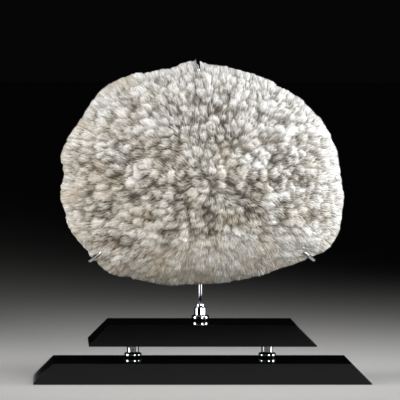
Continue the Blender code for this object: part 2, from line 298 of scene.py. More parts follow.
tuft = {
    "seed": 11,
    "tries": 30000,
    "outermost": 0.985,
    "shares": [0.0, 0.3, 0.55, 0.8, 1.0],  # way out from the mouth, for the rows of values below
    "halfLengths": [4.8, 5.2, 6.2, 8.4, 11.5],  # millimetres along the septa
    "halfWidths": [5.8, 6.0, 5.5, 4.9, 4.5],  # millimetres across them
    "turns": [34.0, 30.0, 17.0, 9.0, 5.0],  # degrees that a tuft may turn from the ray
    "lengthSpread": (0.78, 1.2),
    "widthSpread": (0.72, 1.3),
    "spacing": 0.88,
    "drift": 26.0 * mm,  # distance over which the turn changes
    "sharedTurn": 2.2,  # share of the turn that neighbours have in common
    "ownTurn": 0.4,  # share that is a tuft's own
}

lumps = {
    "valley": 4.6 * mm,  # fall from a tuft's crest to the pits round it
    "crest": 2.6,  # how wide the crests are beside the pits
    "unlike": 2.9 * mm,  # difference in height between tufts
    "deepest": 5.4 * mm,
    "warp": 5.0 * mm,  # how far the tufts' outlines stray from plain rounds
    "warpSize": 9.0 * mm,
    "warpInner": 8.0 * mm,  # least radius for the warp round the mouth
    "furrows": (1.3 * mm, 7, 11),  # height and waves
    "clusters": (3.4 * mm, 15.0 * mm, 0.7),  # height, size, share of the height that the rim lacks
    # Depth, degrees at the mouth, degrees less at the rim, width in radians, way out to its middle, reach
    "groove": (2.6 * mm, 151.0, 65.0, 0.07, 0.5, 0.22),
    "worn": (191.0, 0.9, 8.0 * mm, 11.0 * mm),  # degrees, way out, size across and along
    "wornDepth": 2.0 * mm,
    "wornFlat": 0.9,  # share of the relief that the worn patch lacks
    "rimFlat": [(0.35, 6), (0.55, 20)],  # the same for the rim, and how late on the way out
    "combed": (0.55, -85.0, 55.0, 0.35, 0.3),  # the same below, degrees, width, start and length
}


def bySize(key, share):
    return np.interp(share, tuft["shares"], tuft[key])


def driftAt(share, angle):
    return tuft["sharedTurn"] * noiseAt(frontPoints(share, angle), tuft["drift"], 2.0)


def fromTufts(share, angle, tufts):
    # How far points lie from tufts, along and across each tuft, as shares of its size
    ahead = (share[:, None] - tufts[None, :, 0]) * domeLength
    turn = halfTurns(angle[:, None] - tufts[None, :, 1])
    around = turn * ringRadius((share[:, None] + tufts[None, :, 0]) / 2)
    cos, sin = np.cos(tufts[None, :, 2]), np.sin(tufts[None, :, 2])
    along = (ahead * cos + around * sin) / tufts[None, :, 3]
    across = (around * cos - ahead * sin) / tufts[None, :, 4]
    return np.hypot(along, across)


def placeTufts():
    # Rows of way out, angle, turn, half length, half width, tint and height
    rng = np.random.default_rng(tuft["seed"])
    tries = tuft["tries"]
    share = np.sqrt(rng.random(tries)) * tuft["outermost"]
    angle = rng.uniform(-math.pi, math.pi, tries)
    halfLength = bySize("halfLengths", share) * mm * rng.uniform(*tuft["lengthSpread"], tries)
    halfWidth = bySize("halfWidths", share) * mm * rng.uniform(*tuft["widthSpread"], tries)
    rise = rng.random(tries)
    own = rng.normal(0.0, 1.0, tries).clip(-2.0, 2.0)
    rows = np.stack([share, angle, own, halfLength, halfWidth, rng.random(tries), rise], axis=1)
    kept = rows[:1]
    for row in rows[1:]:
        ahead = (row[0] - kept[:, 0]) * domeLength
        around = halfTurns(row[1] - kept[:, 1]) * ringRadius((row[0] + kept[:, 0]) / 2)
        apart = np.hypot(ahead / (row[3] + kept[:, 3]), around / (row[4] + kept[:, 4]))
        if apart.min() > tuft["spacing"]:
            kept = np.vstack([kept, row])
    turns = driftAt(kept[:, 0], kept[:, 1]) + tuft["ownTurn"] * kept[:, 2]
    kept[:, 2] = np.radians(bySize("turns", kept[:, 0])) * turns
    return kept


def wornAt(share, angle):
    # A smooth brownish patch by the left rim, where the specimen was rubbed
    degrees, way, wide, long = lumps["worn"]
    around = halfTurns(angle - math.radians(degrees)) * coral["meanRadius"]
    ahead = (share - way) * domeLength
    return np.exp(-(around / wide) ** 2 - (ahead / long) ** 2)


def broadLift(share, angle):
    # Slow rise and fall of the whole relief: radial furrows, clusters, and one groove above the mouth
    height, few, many = lumps["furrows"]
    furrows = height * np.sin(few * angle + 1.1 + 2.0 * share) * np.sin(many * angle + 0.4 - 3.0 * share)
    depth, degrees, sweep, width, middle, reach = lumps["groove"]
    away = angle - np.radians(degrees - sweep * share)
    groove = np.exp(-(away / width) ** 2) * np.exp(-((share - middle) / reach) ** 2)
    height, size, calm = lumps["clusters"]
    clusters = height * noiseAt(frontPoints(share, angle), size, 5.0)
    lift = furrows * share * (1 - share ** 4) - depth * groove + clusters * (1 - calm * share ** 4)
    return lift - lumps["wornDepth"] * wornAt(share, angle)


def reliefAt(share, angle):
    # How much of the relief is left: less in the combed lower part, by the rim and in the worn patch
    less, degrees, width, start, way = lumps["combed"]
    below = np.exp(-((np.degrees(angle) - degrees) / width) ** 2) * np.clip((share - start) / way, 0.0, 1.0)
    flat = 1.0
    for lost, lateness in lumps["rimFlat"]:
        flat = flat * (1 - lost * share ** lateness)
    worn = lumps["wornFlat"] * wornAt(share, angle)
    return (1 - less * below) * flat * (1 - worn)


def nearestTufts(share, angle, tufts):
    # The tuft that each point belongs to, and how near it is to that tuft's crest: 1 on it, 0 in the pits
    owner = np.empty(len(share), int)
    crest = np.empty(len(share))
    chunk = 4000
    for start in range(0, len(share), chunk):
        part = slice(start, start + chunk)
        distance = fromTufts(share[part], angle[part], tufts)
        owner[part] = distance.argmin(1)
        first, second = np.partition(distance, 1, axis=1)[:, :2].T
        crest[part] = 1 - (1 - (second - first) / (second + first)) ** lumps["crest"]
    return owner, crest


def fallAt(share, angle, tufts):
    # How far the septa's tips lie below the shell of the highest ones
    place = frontPoints(share, angle)
    warp, size = lumps["warp"], lumps["warpSize"]
    radius = np.maximum(ringRadius(share), lumps["warpInner"])
    warpedShare = share + warp * noiseAt(place, size, 3.0) / domeLength
    warpedAngle = angle + warp * noiseAt(place, size, 8.0) / radius
    owner, crest = nearestTufts(warpedShare, warpedAngle, tufts)
    fall = lumps["valley"] * (1 - crest) + lumps["unlike"] * tufts[owner, 6]
    fall = np.minimum(fall * reliefAt(share, angle), lumps["deepest"])
    return fall - broadLift(share, angle) * (1 - share ** 8)


# Skin of the coral under the septa: front, rim and hollow as one closed mesh

skin = {
    "cells": 200,  # squares along each side of the front's grid
    "depth": 1.5 * mm,  # from the septa's tips down to the skin
    "deepest": 7.4 * mm,
    "rimRaised": 0.4,  # share of the deepest that the rim lacks
    "grain": 0.5 * mm,
    "grainSize": 3.0 * mm,
    "darker": 0.10,  # the skin is a little darker than the septa's feet, as dust and painted shade under them
    "rimRows": 6,
    "rimBulge": 2.5 * mm,
    "rimTone": 0.25,
    "ribCount": 96,
    "ribHeight": 0.5 * mm,
    "rough": [(0.7 * mm, 14.0 * mm, 5.0), (0.35 * mm, 4.0 * mm, 9.0)],  # height, size, shift of noise
    "scarPlace": (0.0095, 0.237),  # x and z
    "scarRadius": 16.0 * mm,
    "scarHeight": 2.2 * mm,
    "scarRing": 0.9 * mm,  # depth of the dip inside the scar's edge
}


def discGrid(cells):
    # A square grid drawn out to a disc with no pole: u and v, way out and angle of its points
    line = np.linspace(-1.0, 1.0, cells + 1)
    a, b = np.meshgrid(line, line, indexing="ij")
    wide = np.abs(a) > np.abs(b)
    safeA, safeB = np.where(a == 0, 1.0, a), np.where(b == 0, 1.0, b)
    radius = np.where(wide, a, b)
    angle = np.where(wide, math.pi / 4 * b / safeA, math.pi / 2 - math.pi / 4 * a / safeB)
    u, v = (radius * np.cos(angle)).ravel(), (radius * np.sin(angle)).ravel()
    return u, v, np.hypot(u, v), np.arctan2(v, u)


def gridFaces(cells):
    row = cells + 1
    corners = [i * row + j for i in range(cells) for j in range(cells)]
    return [(a, a + row, a + row + 1, a + 1) for a in corners]


def gridRim(cells):
    row = cells + 1
    bottom = [i * row for i in range(cells)]
    right = [cells * row + j for j in range(cells)]
    top = [(cells - i) * row + cells for i in range(cells)]
    left = [cells - j for j in range(cells)]
    return bottom + right + top + left


def skinBack(u, v, share, angle):
    # The hollow side with faint ribs, rough ground and the scar of the stalk, and how dusty it is
    place, normal, _, _ = shellFrames(u, v, coral["hollowHeight"], coral["rimWall"])
    waves = np.sin(skin["ribCount"] * angle + 2 * noiseAt(place, 40 * mm))
    rib = skin["ribHeight"] * waves * share ** 0.5 * (1 - share ** 12)
    rough = sum(height * noiseAt(place, size, shift) for height, size, shift in skin["rough"])
    x, z = skin["scarPlace"]
    fromScar = np.hypot(place[:, 0] - x, place[:, 2] - z) / skin["scarRadius"]
    disc = np.exp(-fromScar ** 6)
    scar = skin["scarHeight"] * disc - skin["scarRing"] * np.exp(-(3.0 * (fromScar - 0.55)) ** 2)
    tone = np.clip(0.45 + 0.25 * noiseAt(place, 20 * mm, 3.0) - 0.1 * disc, 0.0, 1.0)
    return place - normal * (rib + rough + scar)[:, None], tone


def makeSkin(material, tufts):
    cells = skin["cells"]
    u, v, share, angle = discGrid(cells)
    place, normal, _, _ = shellFrames(u, v, coral["domeHeight"])
    sunk = fallAt(share, angle, tufts) + skin["depth"]
    lift = -np.minimum(sunk, skin["deepest"] * (1 - skin["rimRaised"] * share ** 7))
    lift += skin["grain"] * noiseAt(place, skin["grainSize"])
    front = place + normal * lift[:, None]
    # Deeper skin is drawn darker, as dust and painted shade in the pits
    frontTone = sunk / septa["height"] + skin["darker"]
    back, backTone = skinBack(u, v, share, angle)

    rim = gridRim(cells)
    rows = skin["rimRows"]
    rimPoints = []
    for k in range(1, rows):
        t = k / rows
        row = front[rim] * (1 - t) + back[rim] * t
        row[:, 1] += skin["rimBulge"] * math.sin(math.pi * t)
        rimPoints.append(row)
    vertices = np.concatenate([front, back] + rimPoints)
    rimTone = np.full(len(rim) * (rows - 1), skin["rimTone"])
    hollow = np.concatenate([frontTone, backTone, rimTone])

    faces = []
    for quad in gridFaces(cells):
        faces.append(quad)
        faces.append(tuple(k + len(front) for k in reversed(quad)))
    loops = [rim] + [[len(front) * 2 + k * len(rim) + i for i in range(len(rim))] for k in range(rows - 1)]
    loops.append([k + len(front) for k in rim])
    for outer, inner in zip(loops, loops[1:]):
        for i in range(len(rim)):
            j = (i + 1) % len(rim)
            faces.append((outer[j], outer[i], inner[i], inner[j]))
    mesh = newMesh("coralSkin", vertices.tolist(), faces)
    storeValues(mesh, "hollow", hollow)
    for key in ("tint", "streak"):
        storeValues(mesh, key, np.full(len(hollow), 0.5))
    faceOutward(mesh)
    mesh.shade_smooth()
    return linkObject("coralSkin", mesh, material)


# Septa: thin toothed plates set on points by Geometry Nodes

septa = {
    "pitch": 1.05 * mm,
    "length": 8.5 * mm,
    "lengths": (0.8, 0.45),  # least share of the length, and what chance adds
    "longer": 0.6,  # how much longer they are at the rim
    "step": 0.68,  # from row to row, as a share of their length
    "firstRow": 0.4,  # steps from the mouth to the first row
    "stagger": 0.6,  # how far they lie off their row, in steps
    "innermost": 0.004,
    "height": 8.0 * mm,  # from their foot in the skin to the tips
    "rimRaised": 0.42,  # share of the height that the rim's feet lack
    "thickness": 1.4 * mm,
    "thicknesses": (0.85, 0.3),
    "segments": 4,
    "lean": 0.6,  # how far they turn along with their tuft
    "fan": math.radians(9.0),  # turn of a tuft's outermost septa away from its middle
    "fanLimit": 1.3,
    "fanCalm": 0.7,  # share of the fan that the rim lacks
    "stray": math.radians(3.0),
    "tilt": math.radians(4.0),  # outer ends stand proud by the rim, like shingles
    "uneven": 0.9 * mm,  # difference in height between neighbouring septa
    "shoulder": 0.45,  # fall to a septum's ends, as a share of its height
    "flatShoulder": 0.25,  # the same where the coral is combed flat
    "flatBelow": 0.74,  # flat ones where less of the relief is left
    "roundShare": 0.6,  # share of the others highest in their middle
    "tooth": 1.2 * mm,
    "toothSpacing": 1.7 * mm,
    "wobble": 1.3 * mm,
    "wobbleSpacing": 11.0 * mm,
    "ragged": 0.014,  # how unevenly they end at the rim
    "fringe": 2.6 * mm,  # how far the tips stand out past the rim
    "wornTint": 2.0,
    "middleZone": 0.55,  # way out to which the two inner pieces reach
    "groundCells": 160,
    "seed": 5,
}


def unitPlate(name, peak, power, shoulder):
    # One septum of length, thickness and height 1 on its base, highest a little past the middle
    ring = [(0.0, 1.0), (0.38, 0.87), (0.60, 0.0), (-0.60, 0.0), (-0.38, 0.87)]
    vertices, faces = [], []
    segments, sides = septa["segments"], len(ring)
    for i in range(segments + 1):
        t = -1 + 2 * i / segments
        lean = t - peak if t < peak else (t - peak) * (1 + peak) / (1 - peak)
        arch = 1 - shoulder * abs(lean / (1 + peak)) ** power
        for side, rise in ring:
            vertices.append((t / 2, side * (0.5 + 0.5 * arch), rise * arch))
    for i in range(segments):
        for k in range(sides):
            a, b = i * sides + k, i * sides + (k + 1) % sides
            faces.append((a, a + sides, b + sides, b))
    faces.append(tuple(range(sides)))
    faces.append(tuple(segments * sides + k for k in reversed(range(sides))))
    mesh = newMesh(name, vertices, faces)
    storeValues(mesh, "rise", [z for _, _, z in vertices])
    faceOutward(mesh)
    mesh.shade_smooth()
    return mesh


def septaTree():
    tree = bpy.data.node_groups.new("septaOnPoints", "GeometryNodeTree")
    tree.interface.new_socket("Points", in_out="INPUT", socket_type="NodeSocketGeometry")
    amounts = {"Tooth": "tooth", "Tooth spacing": "toothSpacing", "Wobble": "wobble",
               "Wobble spacing": "wobbleSpacing", "Full height": "height"}
    for name, key in amounts.items():
        socket = tree.interface.new_socket(name, in_out="INPUT", socket_type="NodeSocketFloat")
        socket.default_value = septa[key]
    for name, kind in (("Plates", "Collection"), ("Ground", "Object"), ("Surface", "Material")):
        tree.interface.new_socket(name, in_out="INPUT", socket_type="NodeSocket" + kind)
    tree.interface.new_socket("Geometry", in_out="OUTPUT", socket_type="NodeSocketGeometry")
    given = addNode(tree, "NodeGroupInput").outputs

    def attribute(name, kind="FLOAT"):
        node = addNode(tree, "GeometryNodeInputNamedAttribute", {"data_type": kind, "Name": name})
        return node.outputs["Attribute"]

    plates = addNode(tree, "GeometryNodeCollectionInfo", {"Separate Children": True, "Reset Children": True},
                     {"Collection": given["Plates"]})
    onPoints = addNode(tree, "GeometryNodeInstanceOnPoints", {"Pick Instance": True}, {
        "Points": given["Points"], "Instance": plates.outputs[0], "Instance Index": attribute("plate", "INT"),
        "Rotation": attribute("turn", "QUATERNION"), "Scale": attribute("size", "FLOAT_VECTOR")})
    real = addNode(tree, "GeometryNodeRealizeInstances", links={"Geometry": onPoints.outputs[0]})
    position = addNode(tree, "GeometryNodeInputPosition").outputs[0]

    def centredNoise(spacing, seed):
        texture = addNode(tree, "ShaderNodeTexNoise", {"noise_dimensions": "4D", "W": seed, "Detail": 1.5},
                          {"Vector": position, "Scale": calc(tree, "DIVIDE", 1.0, spacing)})
        return calc(tree, "SUBTRACT", texture.outputs[0], 0.5)

    def movedBy(direction, amount):
        return addNode(tree, "ShaderNodeVectorMath", {"operation": "SCALE"},
                       {0: attribute(direction, "FLOAT_VECTOR"), "Scale": amount}).outputs[0]

    # How far the tips sink here: deep in the pits, little on the crests of the tufts
    ground = addNode(tree, "GeometryNodeObjectInfo", {"transform_space": "ORIGINAL"},
                     {"Object": given["Ground"]}).outputs["Geometry"]
    fall = addNode(tree, "GeometryNodeSampleNearestSurface", {"data_type": "FLOAT"}, {
        "Mesh": ground, "Value": attribute("fall"), "Sample Position": position}).outputs[0]

    # How low each point lies, as a share of the full height: it darkens the pits with dust and painted shade
    rise = attribute("rise")
    above = calc(tree, "MULTIPLY", rise, calc(tree, "SUBTRACT", given["Full height"], fall))
    above = calc(tree, "DIVIDE", above, given["Full height"])
    hollow = calc(tree, "SUBTRACT", 1.0, above, clamp=True)
    stored = addNode(tree, "GeometryNodeStoreNamedAttribute",
                     {"data_type": "FLOAT", "domain": "POINT", "Name": "hollow"},
                     {"Geometry": real.outputs[0], "Value": hollow})

    # Teeth and fall move the tips up and down, the wobble moves whole septa sideways
    tooth = calc(tree, "MULTIPLY", centredNoise(given["Tooth spacing"], 3.0), given["Tooth"])
    upward = calc(tree, "MULTIPLY", calc(tree, "SUBTRACT", tooth, fall), rise)
    sideways = calc(tree, "MULTIPLY", centredNoise(given["Wobble spacing"], 7.0), given["Wobble"])
    move = addNode(tree, "ShaderNodeVectorMath", {"operation": "ADD"},
                   {0: movedBy("up", upward), 1: movedBy("side", sideways)}).outputs[0]
    moved = addNode(tree, "GeometryNodeSetPosition", links={"Geometry": stored.outputs[0], "Offset": move})
    coloured = addNode(tree, "GeometryNodeSetMaterial",
                       links={"Geometry": moved.outputs[0], "Material": given["Surface"]})
    addNode(tree, "NodeGroupOutput", links={"Geometry": coloured.outputs[0]})
    return tree


def setInput(modifier, name, value):
    for item in modifier.node_group.interface.items_tree:
        if item.name == name and item.in_out == "INPUT":
            modifier[item.identifier] = value


def makePlatesCollection():
    collection = bpy.data.collections.new("septumShapes")
    steep, flat = septa["shoulder"], septa["flatShoulder"]
    # Named in the order of the alphabet, which is the order that a collection is read in
    shapes = [("septumAround", 0.05, 2.0, steep), ("septumBouter", 0.25, 2.2, steep),
              ("septumCflat", 0.1, 2.6, flat)]
    for name, peak, power, shoulder in shapes:
        collection.objects.link(bpy.data.objects.new(name, unitPlate(name, peak, power, shoulder)))
    return collection


def platePoints(name, place, along, side, up, size, plate, tint, streak):
    mesh = newMesh(name, place.tolist(), [])
    turns = [Matrix((a, s, n)).transposed().to_quaternion() for a, s, n in zip(along, side, up)]
    storeValues(mesh, "turn", [tuple(turn) for turn in turns], "QUATERNION")
    for key, vectors in (("size", size), ("up", up), ("side", side)):
        storeValues(mesh, key, vectors, "FLOAT_VECTOR", "vector")
    storeValues(mesh, "plate", plate, "INT")
    storeValues(mesh, "tint", tint)
    storeValues(mesh, "streak", streak)
    return linkObject(name, mesh)


def growPlates(name, rows, tree, plates, material, settings):
    holder = platePoints(name + "Points", *rows)
    modifier = holder.modifiers.new("septa", "NODES")
    modifier.node_group = tree
    setInput(modifier, "Plates", plates)
    setInput(modifier, "Surface", material)
    for key, value in settings.items():
        setInput(modifier, key, value)
    return linkObject(name, finalMesh(holder, name))


def makeGround(tufts):
    # The shell of the tips, with how far the septa fall below it at each place
    cells = septa["groundCells"]
    u, v, share, angle = discGrid(cells)
    mesh = newMesh("tipGround", shellPoints(u, v, coral["domeHeight"]).tolist(), gridFaces(cells))
    storeValues(mesh, "fall", fallAt(share, angle, tufts))
    return linkObject("tipGround", mesh)


def byChance(key, chance):
    # A share of a measure: the least of it, and what chance adds
    least, more = septa[key]
    return least + more * chance


def septaRows(tufts):
    rng = np.random.default_rng(septa["seed"])
    step = septa["length"] * septa["step"] / domeLength
    found = []
    ring = septa["firstRow"] * step
    while ring < 1.0:
        count = max(6, round(2 * math.pi * ringRadius(ring) / septa["pitch"]))
        ahead = rng.uniform(-septa["stagger"], septa["stagger"], count)
        turns = np.arange(count) + rng.uniform(-0.5, 0.5, count)
        found.append(np.stack([ring + step * ahead, turns * 2 * math.pi / count]))
        ring += step
    share, angle = np.hstack(found)
    kept = (share > septa["innermost"]) & (share < 1.0)
    share, angle = share[kept], halfTurns(angle[kept])
    owner, _ = nearestTufts(share, angle, tufts)
    tint, rise = tufts[owner, 5], tufts[owner, 6]
    first, second, third = rng.random((3, len(share)))

    # They lean with their tuft and fan out from its middle
    limit = septa["fanLimit"]
    level = np.clip(halfTurns(angle - tufts[owner, 1]) * ringRadius(share) / tufts[owner, 4], -limit, limit)
    turn = septa["lean"] * np.radians(bySize("turns", share)) * driftAt(share, angle)
    turn = turn + septa["fan"] * level * (1 - septa["fanCalm"] * share ** 4)
    turn = turn + rng.normal(0.0, septa["stray"], len(share))
    length = septa["length"] * byChance("lengths", third) * (1 + septa["longer"] * share ** 4)

    # None reaches past the rim, and those at the rim end unevenly
    past = share - 1.0 + septa["ragged"] * (0.7 * second + 1.5 * rise)
    share = share - np.clip(past * domeLength + length / 2, 0.0, None) / domeLength
    base, up, du, dv = shellFrames(share * np.cos(angle), share * np.sin(angle), coral["domeHeight"])
    ahead = leaning(up, du, dv, angle, turn)
    tilt = (septa["tilt"] * share ** 2)[:, None]
    ahead, up = ahead * np.cos(tilt) + up * np.sin(tilt), up * np.cos(tilt) - ahead * np.sin(tilt)
    side = np.cross(up, ahead)
    relief = reliefAt(share, angle)

    # The last ones stand out past the rim, so the outline is finely toothed
    last = share ** 14
    foot = septa["height"] * (1 - septa["rimRaised"] * share ** 7)
    fringe = septa["fringe"] * last * (0.5 + second ** 4)
    height = foot + fringe - septa["uneven"] * first * (relief + last)
    base = base - up * foot[:, None]
    size = np.stack([length, septa["thickness"] * byChance("thicknesses", third), height], axis=-1)
    plate = np.where(second < septa["roundShare"], 0, 1)
    plate = np.where(relief + 0.12 * (rise - 0.5) < septa["flatBelow"], 2, plate)
    tint = tint + septa["wornTint"] * wornAt(share, angle)
    return [base, ahead, side, up, size, plate, tint, first], share, np.degrees(angle) % 360


# Low ribs on the coral's back

costa = {
    "pitch": 3.0 * mm,
    "length": 19.0 * mm,
    "step": 0.8,  # from row to row, as a share of their length
    "firstRow": 0.14,  # shares of the way out
    "lastRow": 0.97,
    "outermost": 0.985,
    "height": 2.0 * mm,
    "sunk": 1.0 * mm,
    "thickness": 1.7 * mm,
    "stray": 0.05,  # radians
    "seed": 8,
}


def costaRows():
    rng = np.random.default_rng(costa["seed"])
    rows = []
    step = costa["length"] * costa["step"] / domeLength
    ring = costa["firstRow"]
    while ring < costa["lastRow"]:
        count = round(2 * math.pi * float(ringRadius(ring)) / costa["pitch"])
        for i in range(count):
            angle = 2 * math.pi * (i + rng.uniform(-0.15, 0.15)) / count
            share = min(costa["outermost"], ring + rng.uniform(-0.5, 0.5) * step)
            chance, turn = rng.random(), rng.normal(0, costa["stray"])
            rows.append((share * math.cos(angle), share * math.sin(angle), chance, turn))
        ring += step
    u, v, chance, turn = np.array(rows).T
    base, normal, du, dv = shellFrames(u, v, coral["hollowHeight"], coral["rimWall"])
    up = -normal
    ahead = leaning(up, du, dv, np.arctan2(v, u), turn)
    size = np.stack([costa["length"] * (0.85 + 0.3 * chance), np.full(len(u), costa["thickness"]),
                     costa["height"] * (0.7 + 0.5 * chance)], axis=-1)
    base = base - up * costa["sunk"]
    return [base, ahead, np.cross(up, ahead), up, size, np.zeros(len(u)), chance, chance]


# Materials

def tintedBy(tree, colour, tint):
    return addNode(tree, "ShaderNodeMix", {"data_type": "RGBA", "blend_type": "MULTIPLY", 0: 1.0},
                   {6: colour, 7: tint}).outputs[2]


def linkRoughness(tree, shader, source, low, high, least, most):
    # Roughness between the least and the most, as the source goes from low to high
    settings = {1: low, 2: high, 3: least, 4: most}
    rough = addNode(tree, "ShaderNodeMapRange", settings, {0: source}).outputs[0]
    tree.links.new(rough, shader.inputs["Roughness"])


def addBump(tree, shader, height, strength, distance):
    bump = addNode(tree, "ShaderNodeBump", {"Strength": strength, "Distance": distance}, {"Height": height})
    tree.links.new(bump.outputs[0], shader.inputs["Normal"])


def bleachedAragonite():
    # Bleached and dried coral skeleton: chalky and matte, cream on the tips, brown-grey dust and painted
    # shade in the pits
    material, tree, shader = newMaterial("bleachedAragonite", {"Roughness": 0.88, "IOR": 1.53})
    coords = addNode(tree, "ShaderNodeTexCoord").outputs["Object"]

    def stored(name):
        return addNode(tree, "ShaderNodeAttribute", {"attribute_name": name}).outputs["Fac"]

    grain = calc(tree, "MULTIPLY_ADD", noiseOver(tree, coords, 420.0, 3.0), 0.22, -0.11)
    depth = calc(tree, "ADD", stored("hollow"), grain)
    # Dust and painted shade: the lower a point lies in the pits, the browner and darker it is drawn
    dust = addRamp(tree, depth, [(0.10, "#F6F6F5"), (0.42, "#E2E0DC"), (0.68, "#ADA89F"), (0.94, "#554F47")])
    ageAndShade = calc(tree, "MULTIPLY_ADD", stored("tint"), 0.3, noiseOver(tree, coords, 28.0, 3.0))
    # Painted shade: the colour grows warmer and darker towards the lower left, the side in shade
    toShadedSide = {"operation": "DOT_PRODUCT", 1: (-1.0, 0.0, -1.6)}
    low = addNode(tree, "ShaderNodeVectorMath", toShadedSide, {0: coords})
    ageAndShade = calc(tree, "ADD", ageAndShade, calc(tree, "ADD", low.outputs["Value"], 0.34))
    warmth = addRamp(tree, ageAndShade, [(0.45, "#FFFFFF"), (0.70, "#F5F1EA"), (1.0, "#E3D9C9")])
    shade = addRamp(tree, stored("streak"), [(0.0, "#D2CFC9"), (0.6, "#FFFFFF")])
    colour = tintedBy(tree, tintedBy(tree, dust, warmth), shade)
    tree.links.new(colour, shader.inputs["Base Color"])
    addBump(tree, shader, noiseOver(tree, coords, 900.0, 2.0), 0.5, 0.4 * mm)
    return material


def polishedAcrylic():
    # Cast black acrylic sheet, machined and flame polished: near black, mirror-like, a little dust and haze
    black = srgb("#050506")
    material, tree, shader = newMaterial("polishedBlackAcrylic", {
        "IOR": 1.49, "Specular IOR Level": 0.3, "Base Color": black})
    coords = addNode(tree, "ShaderNodeTexCoord").outputs["Object"]
    linkRoughness(tree, shader, noiseOver(tree, coords, 22.0, 4.0), 0.35, 0.75, 0.035, 0.085)
    specks = addNode(tree, "ShaderNodeTexVoronoi", {"Scale": 95.0}, {"Vector": coords})
    chance = addNode(tree, "ShaderNodeSeparateColor", links={0: specks.outputs["Color"]}).outputs[0]
    near = calc(tree, "LESS_THAN", specks.outputs["Distance"], 0.035)
    dust = calc(tree, "MULTIPLY", near, calc(tree, "LESS_THAN", chance, 0.18))
    colour = addNode(tree, "ShaderNodeMix", {"data_type": "RGBA", 6: black, 7: srgb("#8F8B84")},
                     {0: dust}).outputs[2]
    tree.links.new(colour, shader.inputs["Base Color"])
    return material


def polishedChrome():
    # Bright chrome over polished brass: cool mirror with the faintest orange peel and fine wipe marks
    settings = {"Metallic": 1.0, "Base Color": srgb("#DADCDF")}
    material, tree, shader = newMaterial("polishedChromePlate", settings)
    coords = addNode(tree, "ShaderNodeTexCoord").outputs["Object"]
    linkRoughness(tree, shader, noiseOver(tree, coords, 160.0, 5.0), 0.3, 0.8, 0.04, 0.14)
    addBump(tree, shader, noiseOver(tree, coords, 700.0, 1.0), 0.06, 0.1 * mm)
    return material


# Stand

stand = {
    "thickness": 25.0 * mm,
    "depth": 115.0 * mm,
    "land": 1.5 * mm,
    "edge": 0.7 * mm,
    # Name, node and length of each slab, and name, node and x of each spacer
    "slabs": [("lowerSlab", "base_lower", 392.0 * mm), ("upperSlab", "base_upper", 264.0 * mm)],
    "spacers": [("spacerLeftTurned", "spacer_left", -79.0 * mm),
                ("spacerRightTurned", "spacer_right", 79.0 * mm)],
    "gap": 0.3 * mm,
}


def makeSlab(name, node, length, material):
    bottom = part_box(node)[0][2]
    half = length / 2
    run = stand["thickness"] - stand["land"]
    top = stand["thickness"]
    outline = [(-half, 0.0), (half, 0.0), (half, stand["land"]), (half - run, top), (-half + run, top),
               (-half, stand["land"])]
    work = bmesh.new()
    ends = []
    for y in (-stand["depth"] / 2, stand["depth"] / 2):
        ends.append(work.faces.new([work.verts.new((x, y, bottom + z)) for x, z in outline]))
    front, back = ends[0].verts[:], ends[1].verts[:]
    for i in range(len(outline)):
        j = (i + 1) % len(outline)
        work.faces.new([front[i], front[j], back[j], back[i]])
    bmesh.ops.recalc_face_normals(work, faces=work.faces)
    edge = stand["edge"]
    bmesh.ops.bevel(work, geom=work.edges[:], offset=edge, segments=3, profile=0.5, affect="EDGES")
    mesh = bpy.data.meshes.new(name)
    work.to_mesh(mesh)
    work.free()
    smoothUnder(mesh, 50.0)
    slab = linkObject(name, mesh, material)
    slab.modifiers.new("flatFaces", "WEIGHTED_NORMAL").keep_sharp = True
    return slab


turning = {
    "sides": 72,
    "body": 7.0 * mm,
    "lip": 0.5 * mm,  # rounding of the upper edges
    "fillet": 0.8 * mm,  # between body and flange
    "flange": 10.5 * mm,
    "flangeHeight": 6.0 * mm,
    "rounding": 2.6 * mm,
    "hubBodyTop": 14.7 * mm,
    "collar": 4.7 * mm,
    "collarHeight": 4.2 * mm,
    "collarFillet": 0.3 * mm,
    "boreDepth": 12.0 * mm,
    "postRadius": 2.0 * mm,
    "postLip": 0.4 * mm,
    "postY": 23.0 * mm,
    "knuckleZ": 243.0 * mm,
    "knuckleRadius": 10.0 * mm,
    "knuckleThickness": 9.0 * mm,
    "knuckleRounding": 1.8 * mm,
    "knuckleDish": 0.5 * mm,
}


def roundCorner(x, z, radius, start, end, steps=6):
    # Points of an arc round (x, z), angles in degrees
    turns = [math.radians(start + (end - start) * i / steps) for i in range(steps + 1)]
    return [(x + radius * math.cos(turn), z + radius * math.sin(turn)) for turn in turns]


def upperLip(radius, top, lip):
    return roundCorner(radius - lip, top - lip, lip, 90, 0, 3)


def footProfile():
    # From the body down over a fillet to the rounded flange and its underside
    wide, high, r = turning["flange"], turning["flangeHeight"], turning["rounding"]
    body, fillet = turning["body"], turning["fillet"]
    profile = [(body, high + fillet), (body + 0.25 * fillet, high + 0.3 * fillet), (body + fillet, high)]
    profile += roundCorner(wide - r, high - r, r, 90, 0) + roundCorner(wide - r, r, r, 0, -90)
    return profile + [(0.0, 0.0)]


def makeTurned(name, profile, place, material, lieDown=False):
    mesh = bpy.data.meshes.new(name)
    mesh.from_pydata([(x, 0.0, z) for x, z in profile], [(i, i + 1) for i in range(len(profile) - 1)], [])
    holder = linkObject(name + "Profile", mesh)
    screw = holder.modifiers.new("turn", "SCREW")
    screw.steps = turning["sides"]
    screw.render_steps = turning["sides"]
    screw.use_merge_vertices = True
    screw.merge_threshold = 0.00001
    turned = finalMesh(holder, name)
    if lieDown:
        turned.transform(Matrix.Rotation(math.radians(90.0), 4, "X"))
    turned.transform(Matrix.Translation(place))
    faceOutward(turned)
    smoothUnder(turned, 35.0)
    return linkObject(name, turned, material)


def makeSpacer(name, node, x, material):
    low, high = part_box(node)
    height = high[2] - low[2]
    profile = [(0.0, height)] + upperLip(turning["body"], height, turning["lip"]) + footProfile()
    return makeTurned(name, profile, (x, turning["postY"], low[2]), material)


